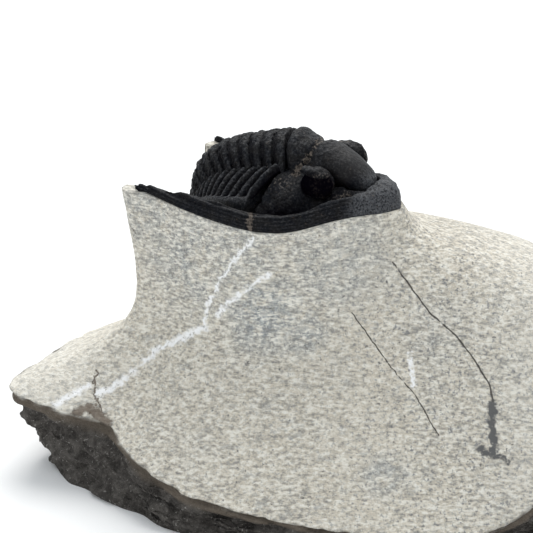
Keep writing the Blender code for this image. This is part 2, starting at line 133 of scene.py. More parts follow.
# Where a segment begins and ends, where its crest gets a painted highlight, and where its slots get painted
# shade: place and half width
SEGMENT_SPAN = (-0.03, 1.03)
CREST_HIGHLIGHT = (0.3, 0.13)
PAINTED_SLOT_SHADES = ((0.8, 0.24), (-0.05, 0.14))
TAIL_FOOT_X = -10.2
TAIL_RINGS = 4.0
TAIL_SWELL = 0.015
TAIL_TAPER = 0.93
TAIL_SWEEP_LOSS = 0.75
POCKET_FRONT = (4.5, 33.1)
POCKET_SLOPE = 0.119
POCKET_HALF_WIDTH = 9.15
STONE_BEARINGS = [
    (-166, (17.0, 26.0), (17.9, 19.5), (24.0, 14.7), (33.8, 10.8), 28.6),
    (-152, (14.2, 26.5), (15.0, 20.0), (19.5, 14.2), (26.6, 9.2), 28.2),
    (-144, (13.4, 27.0), (13.6, 20.5), (18.6, 13.5), (24.3, 8.4), 27.3),
    (-125, (12.3, 27.0), (13.4, 20.0), (18.8, 12.7), (25.9, 6.4), 26.6),
    (-110, (12.4, 27.0), (13.6, 20.0), (19.5, 12.4), (27.5, 5.0), 28.3),
    (-92, (12.7, 27.0), (14.2, 20.0), (21.0, 12.3), (29.5, 4.2), 29.8),
    (-70, (13.8, 27.5), (15.6, 21.0), (23.0, 13.0), (33.5, 3.0), 33.0),
    (-46, (17.0, 29.0), (21.0, 23.5), (30.0, 14.0), (41.0, 2.9), 40.5),
    (-25, (20.5, 31.8), (27.0, 29.3), (38.0, 25.0), (49.0, 20.0), 49.0),
    (-5, (19.5, 31.6), (27.0, 29.6), (36.0, 27.0), (45.0, 23.5), 46.0),
    (20, (17.0, 31.0), (25.0, 28.6), (34.0, 25.0), (44.0, 18.0), 45.0),
    (50, (14.5, 30.0), (20.0, 26.0), (26.0, 19.5), (34.0, 9.0), 34.5),
    (80, (13.8, 28.0), (16.5, 22.0), (21.5, 15.0), (27.0, 7.0), 27.0),
    (110, (16.6, 28.0), (18.0, 20.0), (22.0, 14.5), (27.5, 8.0), 27.0),
    (135, (13.6, 26.0), (15.5, 19.5), (21.0, 14.0), (28.0, 9.0), 27.5),
    (163, (13.5, 26.5), (15.2, 19.5), (19.0, 15.0), (25.0, 12.5), 24.5),
    (180, (15.2, 26.0), (16.7, 19.0), (21.5, 15.2), (29.0, 12.0), 26.5)]
HORN_TOP_Z = 36.7
HORN_TILT = 0.035
STONE_REAR_RIM = [(-14.1, -11.4), (-13.4, -6.0), (-12.9, 0.0), (-13.3, 6.0), (-13.5, 11.2)]
RIM_MARGIN = 0.25
CAD_SIDE_RINGS = 4
SIDE_ROUGHNESS = 0.9
BREAK_SCALE = 0.22
BREAK_STEP = 1.7
BREAK_SWELL = (0.4, 0.6)

# Mesh fineness
STONE_COLUMNS = 620
STONE_SIDE_RINGS = 34
STONE_WALL_RINGS = 92
STONE_TOP_RINGS = 24
HEAD_PITCH = 0.125
SEGMENT_ROWS = 25
TAIL_ROWS = 36
SECTION_POINTS = 130
CURVE_STEPS = 8

# Studio light, sky and floor
LIGHT_TOWARDS = (-0.1, -0.68, -1.0)
LIGHT_STRENGTH = 2.15
LIGHT_ANGLE = 42.0
SKY_STRENGTH = 0.84
FLOOR_SIZE = 6.0

# Colours of the stone, its broken side, the shell and the floor, with painted side light, highlight and shade
# among them
PAINT = {"warm": (0.6, 0.545, 0.45), "cool": (0.31, 0.335, 0.345), "light_stroke": (0.8, 0.77, 0.69),
         "dark_stroke": (0.27, 0.26, 0.235), "dark_fleck": (0.2, 0.205, 0.21),
         "light_mottle": (0.82, 0.79, 0.71), "dark_mottle": (0.3, 0.3, 0.29), "painted_side_light": (0.86, 0.84, 0.78),
         "light_fleck": (0.88, 0.87, 0.82), "fine_fleck": (0.86, 0.85, 0.8), "pit": (0.1, 0.1, 0.1),
         "vein": (0.95, 0.95, 0.95), "crack": (0.07, 0.06, 0.055), "patch": (0.13, 0.13, 0.13),
         "brown_and_notch_shade": (0.12, 0.085, 0.06), "break_low": (0.045, 0.04, 0.036),
         "break_high": (0.115, 0.105, 0.095), "break_fleck": (0.34, 0.325, 0.3),
         "break_edge": (0.135, 0.11, 0.085), "shell_cold": (0.0025, 0.0035, 0.0065),
         "shell_warm": (0.0065, 0.006, 0.0065), "scuff_and_highlight_grey": (0.068, 0.07, 0.076),
         "polished": (0.0085, 0.0074, 0.0078), "grit": (0.09, 0.094, 0.102), "crumb": (0.13, 0.1, 0.075),
         "matrix": (0.17, 0.14, 0.115), "painted_hollow_shade": (0.0015, 0.001, 0.0025), "floor": (0.93, 0.93, 0.93)}

# Lines seen on the stone, in pixels of the photograph, each with its half width in mm
VEINS = [([(56, 404), (87, 386)], 0.42),
         ([(98.6, 393), (112, 388), (156, 350), (204, 327)], 0.4),
         ([(204, 327), (206, 310), (221, 279), (238, 255), (253, 239)], 0.24),
         ([(217.5, 315), (231, 301), (251.5, 286), (268.5, 274)], 0.26),
         ([(411, 354), (413, 388)], 0.2)]
CRACKS = [([(392.6, 262), (408, 283), (430, 313), (455.5, 335), (472.5, 357), (489.5, 384.5),
            (493, 401.5)], 0.1),
          ([(352, 313), (367, 333.5), (391, 367.5), (415, 395), (438.5, 435.5)], 0.075)]
# The second, wide brown line is partly the notch's own brown and partly painted shade of its recess; the
# others are brown cracks.
BROWN_LINES_AND_NOTCH_SHADE = [([(97, 371), (93.5, 391), (105, 418)], 0.16), ([(76, 411), (90, 409), (107, 422)], 0.7),
                ([(125, 207), (130, 225), (137, 235)], 0.10)]
DARK_PATCH = [([(492, 405), (494.6, 452)], 0.6), ([(480, 450), (508, 462)], 0.5)]
# Blue-grey areas of the carved stone: pixel, radius in mm, strength
COOL_SPOTS = [((268, 312), 6.0, 1.0), ((300, 330), 3.5, 0.9), ((190, 262), 8.0, 0.75),
              ((150, 215), 5.0, 0.8), ((330, 258), 8.0, 0.65), ((236, 255), 7.0, 0.75),
              ((440, 330), 5.0, 0.35), ((385, 475), 3.0, 0.7)]

RANDOM = np.random.default_rng(11)
SHUFFLED = RANDOM.permutation(256)
DIRECTIONS = RANDOM.normal(size=(256, 3))
DIRECTIONS /= np.linalg.norm(DIRECTIONS, axis=1)[:, None]


# Numbers and curves

def blend(a, b, t):
    """Value between a and b."""
    return a + (b - a) * t


def smooth_step(t):
    """Ramp from 0 to 1 with level ends."""
    t = np.clip(t, 0.0, 1.0)
    return t * t * (3.0 - 2.0 * t)


def ramp(value, start, width):
    """Ramp from 0 to 1 that begins at start; with a negative width it falls to 0 there."""
    return smooth_step((value - start) / width)


def bump(t, centre, width):
    """Bell of height 1."""
    return np.exp(-((t - centre) / width) ** 2)


def grain(points, size, seed=0):
    """Gradient noise of one feature size in mm, about -0.7 to 0.7."""
    spread = points / size + seed * 17.31
    cell = np.floor(spread).astype(np.int64)
    part = spread - cell
    fade = part ** 3 * (part * (part * 6.0 - 15.0) + 10.0)
    total = np.zeros(len(points))
    for corner in itertools.product((0, 1), repeat=3):
        x, y, z = (cell + corner).T
        index = SHUFFLED[(SHUFFLED[(SHUFFLED[x & 255] + y) & 255] + z) & 255]
        reach = ((part - corner) * DIRECTIONS[index]).sum(1)
        total += reach * np.prod(np.where(corner, fade, 1.0 - fade), axis=1)
    return total


def rough(points, size, octaves, seed=0):
    """Sum of finer and finer grain."""
    return sum(grain(points, size / 2 ** k, seed + k) / 2 ** k for k in range(octaves))


def smooth_line(points, closed=False):
    """Smooth polyline through points."""
    p = np.asarray(points, float)
    p = np.vstack([p[-1:], p, p[:2]]) if closed else np.vstack([p[:1], p, p[-1:]])
    t = np.arange(1, CURVE_STEPS + 1)[:, None] / CURVE_STEPS
    line = [p[1:2]]
    for before, a, b, after in zip(p, p[1:], p[2:], p[3:]):
        reach = np.linalg.norm(b - a) / 3.0
        out = a + (b - before) / np.linalg.norm(b - before) * reach
        back = b - (after - a) / np.linalg.norm(after - a) * reach
        line.append(a * (1 - t) ** 3 + 3 * out * t * (1 - t) ** 2 + 3 * back * t * t * (1 - t) + b * t ** 3)
    return np.vstack(line)


def at_shares(line, shares):
    """Points of a polyline at shares of its length."""
    lengths = np.concatenate([[0.0], np.cumsum(np.linalg.norm(np.diff(line, axis=0), axis=1))])
    want = np.clip(shares, 0.0, 1.0) * lengths[-1]
    return np.stack([np.interp(want, lengths, line[:, k]) for k in range(line.shape[1])], axis=-1)


def line_distance(x, y, line):
    """Distance from a polyline in plan, and the share of its length at the nearest point."""
    best = np.full(x.shape, 1e9)
    share = np.zeros(x.shape)
    lengths = np.concatenate([[0.0], np.cumsum(np.linalg.norm(np.diff(line, axis=0), axis=1))])
    for i, (a, b) in enumerate(zip(line, line[1:])):
        d = b - a
        size = d @ d
        t = np.clip(((x - a[0]) * d[0] + (y - a[1]) * d[1]) / size, 0.0, 1.0)
        away = np.hypot(x - a[0] - t * d[0], y - a[1] - t * d[1])
        near = away < best
        best = np.where(near, away, best)
        share = np.where(near, lengths[i] + t * math.sqrt(size), share)
    return best, share / lengths[-1]


def inside_loop(x, y, loop):
    """True where a point in plan is inside a closed polyline."""
    inside = np.zeros(x.shape, bool)
    for a, b in zip(loop, np.roll(loop, -1, axis=0)):
        if a[1] != b[1]:
            crosses = (a[1] > y) != (b[1] > y)
            inside ^= crosses & (x < (b[0] - a[0]) * (y - a[1]) / (b[1] - a[1]) + a[0])
    return inside


def saddle(x, y):
    """Height of the seat under the head shield."""
    rear = np.maximum(SADDLE_LOW[0] - x, 0.0) / SADDLE_REAR[1]
    front = (x - SADDLE_LOW[0] - SADDLE_FRONT[1]) / SADDLE_FRONT[2]
    rise = (SADDLE_REAR[0] + SADDLE_TILT * np.minimum(y, 0.0)) * rear ** 1.4
    return SADDLE_LOW[1] + rise + SADDLE_FRONT[0] * smooth_step(front)


def pocket_floor(x):
    """Height of the pocket's floor under the thorax."""
    return POCKET_FRONT[1] + POCKET_SLOPE * (x - POCKET_FRONT[0])


def from_fossil(points):
    """Fossil frame to the object's frame."""
    c, s = math.cos(FOSSIL_TURN), math.sin(FOSSIL_TURN)
    x, y, z = points.T
    return np.stack([c * x - s * y + FOSSIL_AT[0], s * x + c * y + FOSSIL_AT[1], z], axis=1)


def pixel_ray(pixel):
    """Direction from the camera through a pixel of the photograph."""
    forward = (Vector(CAMERA_AIM) - Vector(CAMERA_AT)).normalized()
    right = forward.cross(Vector((0, 0, 1))).normalized()
    up = right.cross(forward)
    focal = CAMERA_LENS / SENSOR_WIDTH * PHOTO_SIDE
    half = PHOTO_SIDE / 2.0
    return (forward * focal + right * (pixel[0] - half) - up * (pixel[1] - half)).normalized()


# Meshes

def add_piece(name, points, faces, node, material, fields=None):
    """Mesh object in metres that stands for a CAD node, with its float attributes."""
    mesh = bpy.data.meshes.new(name)
    mesh.from_pydata((points * MM).tolist(), [], faces)
    mesh.polygons.foreach_set("use_smooth", np.ones(len(mesh.polygons), bool))
    for key, values in (fields or {}).items():
        layer = mesh.attributes.new(key, "FLOAT", "POINT")
        layer.data.foreach_set("value", values.astype(np.float32))
    mesh.materials.append(material)
    mesh.validate()
    mesh.update()
    piece = bpy.data.objects.new(name, mesh)
    bpy.context.scene.collection.objects.link(piece)
    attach(piece, "root")
    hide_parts(node)
    return piece


def fan(ring, middle, flip):
    """Triangles from a ring of vertices to a middle one."""
    pairs = zip(ring, ring[1:] + ring[:1])
    return [(b, a, middle) if flip else (a, b, middle) for a, b in pairs]


def closed_faces(rows, count):
    """Quads between stacked closed rings, and a fan to an end point at either end."""
    r, c = np.meshgrid(np.arange(rows - 1), np.arange(count), indexing="ij")
    a = r * count + c
    b = r * count + (c + 1) % count
    size = rows * count
    faces = np.stack([a, b, b + count, a + count], axis=-1).reshape(-1, 4).tolist()
    faces += fan(list(range(count)), size, True)
    return faces + fan(list(range(size - count, size)), size + 1, False)


def with_ends(values):
    """Values of a grid's points, then 0 for its two end points."""
    return np.append(values, (0.0, 0.0))


def grid_normals(points):
    """Normals of a grid of rings, closed along the second axis."""
    along = np.gradient(points, axis=0)
    around = np.roll(points, -1, axis=1) - np.roll(points, 1, axis=1)
    normals = np.cross(around, along)
    return normals / np.maximum(np.linalg.norm(normals, axis=2, keepdims=True), 1e-9)


def mesh_normals(points, quads):
    """Vertex normals of a quad mesh."""
    a, b, c, d = (points[quads[:, k]] for k in range(4))
    face = np.cross(c - a, d - b)
    normals = np.zeros_like(points)
    for k in range(4):
        np.add.at(normals, quads[:, k], face)
    return normals / np.maximum(np.linalg.norm(normals, axis=1)[:, None], 1e-9)


def relax(points, quads, rounds):
    """Even out the small steps of a sampled surface."""
    ends = np.concatenate([quads[:, [k, (k + 1) % 4]] for k in range(4)])
    count = np.bincount(ends.ravel(), minlength=len(points))[:, None]
    for _ in range(rounds):
        total = np.zeros_like(points)
        np.add.at(total, ends[:, 0], points[ends[:, 1]])
        np.add.at(total, ends[:, 1], points[ends[:, 0]])
        points = 0.5 * points + 0.5 * total / count
    return points


def surface_of(field, start, pitch):
    """Quad mesh where a sampled field changes sign, with one vertex in each crossed cell."""
    corners = list(itertools.product((0, 1), repeat=3))
    nx, ny, nz = field.shape
    inside = field < 0.0
    filled = np.zeros((nx - 1, ny - 1, nz - 1), np.int8)
    for i, j, k in corners:
        filled += inside[i:nx - 1 + i, j:ny - 1 + j, k:nz - 1 + k]
    cells = np.argwhere((filled > 0) & (filled < 8))
    values = [field[tuple((cells + corner).T)] for corner in corners]
    total = np.zeros((len(cells), 3))
    hits = np.zeros((len(cells), 1))
    for (i, a), (j, b) in itertools.combinations(enumerate(corners), 2):
        if sum(abs(p - q) for p, q in zip(a, b)) == 1:
            crossed = (values[i] < 0.0) != (values[j] < 0.0)
            t = np.where(crossed, values[i] / np.where(crossed, values[i] - values[j], 1.0), 0.0)[:, None]
            total += np.where(crossed[:, None], np.array(a) + t * (np.array(b) - np.array(a)), 0.0)
            hits += crossed[:, None]
    points = (cells + total / hits) * pitch + start
    number = np.full(filled.shape, -1, np.int64)
    number[tuple(cells.T)] = np.arange(len(cells))
    quads = []
    for axis in range(3):
        low = np.take(inside, np.arange(inside.shape[axis] - 1), axis)
        high = np.take(inside, np.arange(1, inside.shape[axis]), axis)
        where = np.argwhere(low != high)
        u, v = (axis + 1) % 3, (axis + 2) % 3
        where = where[(where[:, u] > 0) & (where[:, v] > 0)]
        around = []
        for du, dv in ((0, 0), (1, 0), (1, 1), (0, 1)):
            cell = where.copy()
            cell[:, u] -= du
            cell[:, v] -= dv
            around.append(number[tuple(cell.T)])
        quad = np.stack(around, axis=1)
        outward = low[tuple(where.T)]
        quads.append(np.where(outward[:, None], quad, quad[:, ::-1]))
    return points, np.concatenate(quads)


# Stone

def stone_profile(bearings):
    """Wall, foot, skirt, edge and floor values at bearings in degrees."""
    table = np.array([[b, *wall, *foot, *skirt, *edge, floor]
                      for b, wall, foot, skirt, edge, floor in STONE_BEARINGS], float)
    starts = table[:, 0]
    spans = (np.roll(starts, -1) - starts) % 360.0
    offset = (bearings[:, None] - starts) % 360.0
    index = np.argmax(offset <= spans, axis=1)
    t = (offset[np.arange(len(bearings)), index] / spans[index])[:, None]
    a, b, c, d = (table[(index + k) % len(table), 1:] for k in (-1, 0, 1, 2))
    slope_b, slope_c = (c - a) / 2.0, (d - b) / 2.0
    return (b * (2 * t ** 3 - 3 * t * t + 1) + slope_b * (t ** 3 - 2 * t * t + t)
            + c * (3 * t * t - 2 * t ** 3) + slope_c * (t ** 3 - t * t))


def pocket_share(x, y):
    """1 inside the pocket behind the head, 0 on the stone round it."""
    across = smooth_step((POCKET_HALF_WIDTH + 0.35 - np.abs(y)) / 0.7)
    return across * smooth_step((POCKET_FRONT[0] + 0.2 - x) / 0.4)


def stone_top(x, y):
    """Height of the stone under the head and its spines."""
    return np.minimum(saddle(x, y), HORN_TOP_Z + HORN_TILT * y)


def stone_columns():
    """Grid of the stone's points, in rings from the floor to the middle of the top."""
    half = np.array(HEAD_OUTLINE[:-1])
    loop = np.vstack([(half * (1, -1))[::-1][:-1], half, STONE_REAR_RIM[::-1]])
    rim = smooth_line(loop, closed=True)
    rim = at_shares(rim, np.arange(STONE_COLUMNS) / STONE_COLUMNS)
    c, s = math.cos(FOSSIL_TURN), math.sin(FOSSIL_TURN)
    spot = np.stack([c * rim[:, 0] - s * rim[:, 1], s * rim[:, 0] + c * rim[:, 1]], axis=1)
    far = np.linalg.norm(spot, axis=1)
    direction = spot / far[:, None]
    values = stone_profile(np.degrees(np.arctan2(spot[:, 1], spot[:, 0])))
    x, y = rim.T
    top_z = stone_top(x, y)
    share = pocket_share(x, y)
    rim_z = blend(top_z, pocket_floor(x), share)
    rise = 0.02 * np.arange(STONE_WALL_RINGS + 1) / STONE_WALL_RINGS
    heights, reaches = [], []
    for i in range(STONE_COLUMNS):
        edge_r, edge_z, floor_r = values[i, 6:9]
        side_t = np.arange(STONE_SIDE_RINGS) / STONE_SIDE_RINGS
        lumps = [noise.noise(Vector((*direction[i], 0)) * edge_r * BREAK_SCALE
                             + Vector((0, 0, BREAK_STEP * t * (CAD_SIDE_RINGS + 1)))) for t in side_t]
        side_r = blend(floor_r, edge_r, side_t)
        swell = BREAK_SWELL[0] + BREAK_SWELL[1] * np.sin(np.pi * side_t)
        side_r = side_r + 2.0 * SIDE_ROUGHNESS * np.array(lumps) * swell
        full = [(far[i] + RIM_MARGIN, top_z[i])] + [tuple(values[i, k:k + 2]) for k in (0, 2, 4, 6)]
        wall = at_shares(smooth_line(full[::-1]), np.linspace(0.0, 1.0, STONE_WALL_RINGS + 1))
        wall[:, 1] = np.minimum(wall[:, 1], rim_z[i] + rise)
        reaches.append(np.concatenate([side_r, wall[:, 0]]))
        heights.append(np.concatenate([edge_z * side_t, wall[:, 1]]))
    reaches, heights = np.array(reaches).T, np.array(heights).T
    outer = np.stack([reaches * direction[:, 0], reaches * direction[:, 1], heights], axis=2)
    inward = 1.0 - (np.arange(1, STONE_TOP_RINGS + 1) / (STONE_TOP_RINGS + 1)) ** 1.35
    inner = []
    for share in inward:
        px, py = x * share, y * share
        level = blend(stone_top(px, py), pocket_floor(px), pocket_share(px, py))
        inner.append(np.stack([c * px - s * py, s * px + c * py, level - 0.05], axis=1))
    points = np.concatenate([outer, np.array(inner)])
    points[:, :, 0] += FOSSIL_AT[0]
    points[:, :, 1] += FOSSIL_AT[1]
    return points


def stone_relief(points, normals, broken, strip):
    """How far each point of the stone moves along its normal."""
    flat = points.reshape(-1, 3)
    shape = points.shape[:2]
    leaning = flat @ np.array([[1, 0.0, -0.35], [0, 1, 0], [0.35, 0, 1]])
    carved = (0.16 * rough(flat, 6.0, 2, 1) + 0.05 * rough(flat, 0.9, 2, 4)
              + 0.05 * grain(leaning * (0.45, 0.45, 1.6), 0.8, 7))
    layers = flat * (0.5, 0.5, 1.6)
    chips = np.abs(rough(layers, 2.6, 3, 21))
    ledges = grain(layers, 4.5, 31)
    snapped = 0.9 * grain(layers, 3.2, 12) + 0.9 * (np.round(ledges * 5.0) / 5.0 - ledges)
    snapped = snapped - 0.9 * chips + 0.22 * rough(flat, 0.8, 2, 16)
    smooth_strip = 0.35 * grain(flat, 2.5, 41)
    carved, snapped, smooth_strip = (v.reshape(shape) for v in (carved, snapped, smooth_strip))
    return carved * (1.0 - broken) + broken * blend(snapped, smooth_strip, strip)


def seen_at(tree, pixel):
    """Point of a surface that shows at a pixel, or the nearest one just past its outline."""
    start, ray = Vector(CAMERA_AT), pixel_ray(pixel)
    hit = tree.ray_cast(start, ray)[0]
    if hit is None:
        reach = (Vector(CAMERA_AIM) - start).length
        for _ in range(4):
            hit = tree.find_nearest(start + ray * reach)[0]
            reach = (hit - start).dot(ray)
    return hit


def make_stone(material_of):
    """Limestone block with its carved wall, broken side and the pocket under the fossil."""
    points = stone_columns()
    rings, columns = points.shape[:2]
    ring = np.arange(rings)[:, None]
    flat = points.reshape(-1, 3)
    ragged = rough(flat, 3.0, 2, 51).reshape(rings, columns)
    below = STONE_SIDE_RINGS - 0.5 - ring + 2.2 * ragged
    broken = smooth_step(below / 1.5 + 0.5)
    strip = smooth_step((6.5 + 4.0 * ragged - below) / 3.0) * broken
    top_rings = rings - STONE_TOP_RINGS
    calm = smooth_step((top_rings - 1 - ring) / 6.0)
    normals = grid_normals(points)
    moved = stone_relief(points, normals, broken, strip)
    edge = bump(ring, STONE_SIDE_RINGS, 3.0) * np.maximum(ragged + 0.1, 0.0) * 0.8
    moved = (moved - edge) * blend(0.35, 1.0, calm) * np.minimum(ring / 2.0, 1.0)
    moved[top_rings:] *= 0.3
    points = points + normals * moved[:, :, None]
    points[:, :, 2] = np.maximum(points[:, :, 2], 0.0)
    points[0, :, 2] = 0.0
    middle_low = [FOSSIL_AT[0], FOSSIL_AT[1], 0.0]
    middle_high = [FOSSIL_AT[0], FOSSIL_AT[1], float(pocket_floor(0.0)) - 0.05]
    flat = np.vstack([points.reshape(-1, 3), middle_low, middle_high])
    faces = closed_faces(rings, columns)
    tree = BVHTree.FromPolygons([Vector(p) for p in flat], faces)
    cool = np.zeros(len(flat))
    for pixel, radius, strength in COOL_SPOTS:
        away = np.linalg.norm(flat - np.array(seen_at(tree, pixel)), axis=1)
        cool = np.maximum(cool, strength * smooth_step(1.35 - away / radius))
    fields = {"broken": with_ends(broken), "strip": with_ends(strip), "cool": cool}
    groups = {"vein": VEINS, "crack": CRACKS, "brown_and_notch_shade": BROWN_LINES_AND_NOTCH_SHADE, "patch": DARK_PATCH}
    lines = {key: [([seen_at(tree, p) for p in line], width) for line, width in group]
             for key, group in groups.items()}
    material = material_of(lines)
    return add_piece("limestone_block", flat, faces, "limestone_matrix", material, fields)


# Head shield

def ellipsoid(x, y, z, form):
    """Nearly exact distance from a tilted ellipsoid."""
    centre, radii, tilt = form
    c, s = math.cos(math.radians(tilt)), math.sin(math.radians(tilt))
    dx, dy, dz = x - centre[0], y - centre[1], z - centre[2]
    ax, ay, az = (dx * c - dz * s) / radii[0], dy / radii[1], (dx * s + dz * c) / radii[2]
    near = np.sqrt(ax * ax + ay * ay + az * az)
    slope = np.sqrt((ax / radii[0]) ** 2 + (ay / radii[1]) ** 2 + (az / radii[2]) ** 2)
    return near * (near - 1.0) / np.maximum(slope, 1e-4)


def join(a, b, soft):
    """Union with a fillet."""
    mix = np.maximum(soft - np.abs(a - b), 0.0) / soft
    return np.minimum(a, b) - mix * mix * soft / 4.0


def meet(a, b, soft):
    """Intersection with a rounded edge."""
    return -join(-a, -b, soft)


def head_plan(x, y):
    """Signed distance in plan, distance from the outer edge, and share along that edge."""
    outer = smooth_line(HEAD_OUTLINE)
    margin_y = np.linspace(SPINE_INNER_ROOT[1], 0.0, 24)
    arch = RING_ARCH * np.minimum(margin_y / AXIS_HALF_WIDTHS[0], 1.0) ** 2
    margin_x = HEAD_REAR_X + arch - PLEURA_SWEEPS[0] * np.maximum(margin_y - AXIS_HALF_WIDTHS[0], 0.0)
    rear = np.vstack([[SPINE_INNER_TIP], np.stack([margin_x, margin_y], axis=1)])
    from_outer, share = line_distance(x, y, outer)
    from_rear, _ = line_distance(x, y, rear)
    loop = np.vstack([outer, rear, [[HEAD_REAR_X, -1.0], [HEAD_OUTLINE[0][0], -1.0]]])
    within = inside_loop(x, y, loop)
    away = np.minimum(from_outer, from_rear)
    return np.where(within, -away, away), from_outer, from_rear, share


def stretched(x, y):
    """Place along the fossil with the left cheek spine's extra length taken out."""
    behind = np.clip((LEFT_SPINE_FROM[0] - x) / LEFT_SPINE_FROM[1], 0.0, 1.0)
    return x + np.where(y > 0.0, LEFT_SPINE_EXTRA, 0.0) * behind ** 2


def head_top(x, y, plan):
    """Height of the head plate over its seat, and how far it leans with the eyes."""
    _, inset, from_rear, share = plan
    front = np.exp(-(share / FRONT_SHARE) ** 2)
    spine = np.clip((share - CHEEK_CORNER_AT) / (1.0 - CHEEK_CORNER_AT), 0.0, 1.0)
    on_spine = np.minimum(spine * SPINE_ONSET, 1.0)
    at = inset / blend(1.0, np.clip((inset + from_rear) / BORDER_WIDTH, 0.2, 1.0), on_spine)
    shape = smooth_line(PLATE_PROFILE)
    brim, side, lobe = (np.interp(at, shape[:, 0], shape[:, k]) for k in (1, 2, 3))
    lobed = (1.0 - ramp(x, *LOBE_END)) * (1.0 - front)
    cheek = blend(side, lobe, lobed)
    dip = REAR_DIP * (1.0 - smooth_step(from_rear / REAR_DIP_REACH))
    cheek = cheek - dip * ramp(y, *REAR_DIP_FROM) * (at > 2.0)
    height = blend(cheek, brim, front)
    crest = np.interp(at, *zip(*SPINE_CREST))
    spine_height = crest * blend(*SPINE_HEIGHTS, spine ** SPINE_TAPER)
    rolled = ramp(at, 1.0, 1.5) * (1.0 - lobed) * (1.0 - on_spine)
    return blend(height, spine_height, on_spine), rolled


def head_field(x, y, z, plan):
    """Signed field of the head shield, negative inside."""
    side = np.abs(y)
    seat = saddle(x, y)
    height, rolled = head_top(x, side, plan)
    inset, width, depth = BORDER_FURROW
    furrow = depth * bump(plan[1], inset, width) * ramp(x, FURROW_ENDS[1], -FURROW_FADE)
    height = height - furrow * ramp(x, FURROW_ENDS[0], FURROW_FADE)
    plate = meet(plan[0], z - seat - height - EYE_ROLL * y * rolled, FILLETS["plate"])
    level = z - EYE_ROLL * y
    bulb = join(ellipsoid(x, side, z, NOSE), ellipsoid(x, side, z, SNOUT), FILLETS["nose"])
    plate = meet(plate, MOAT - bulb, FILLETS["moat"])
    bulb = join(bulb, ellipsoid(x, side, z, CROWN), FILLETS["crown"])
    knob = join(ellipsoid(x, side, z, NECK_KNOB), ellipsoid(x, side, z, NECK_SLOPE), FILLETS["knob"])
    eye = join(ellipsoid(x, side, level, EYE), ellipsoid(x, side, level, LID), FILLETS["lid"])
    head = join(plate, join(bulb, knob, FILLETS["neck"]), FILLETS["head"])
    head = join(head, eye, FILLETS["eye"])
    return np.maximum(head, seat - HEAD_SINK - z)


def head_relief(points, local):
    """Fine relief of the head: terrace lines on the border, grains and pits elsewhere."""
    px, py, pz = points.T
    side = np.abs(py)
    above = pz - saddle(px, py)
    brim = ramp(px, 13.5, 2.0) * ramp(local[1], 4.5, -1.0)
    outer_face = ramp(local[1], 1.3, -0.4) * (1.0 - brim)
    lines = np.sin((above + 0.12 * grain(points, 2.5, 3)) / 0.43 * 2.0 * np.pi)
    groove = bump(above, 1.35, 0.16) * ramp(px, 0.5, -2.0) * outer_face
    smooth = ramp(px, 7.5, 5.0) * smooth_step((0.35 - ellipsoid(px, side, pz, NOSE)) / 0.3)
    smooth = np.maximum(smooth, 0.6 * outer_face)
    coarse = 0.16 * rough(points, 1.5, 2, 5) + 0.14 * grain(points, 0.6, 9) + 0.08 * grain(points, 0.36, 10)
    lobe = bump(side, 7.6, 1.2) * bump(px, 5.9, 2.6) * ramp(local[1], 2.3, 0.4)
    strokes = np.sin((pz + 0.25 * px + 0.15 * grain(points, 2.0, 13)) / 0.3 * 2.0 * np.pi)
    relief = coarse * (1.0 - 0.85 * smooth) * (1.0 + 0.8 * lobe) + 0.035 * lobe * strokes
    relief += 0.12 * outer_face * lines - 0.4 * groove
    relief += 0.13 * brim * np.maximum(grain(points, 0.42, 8), 0.0)
    return relief, smooth, brim


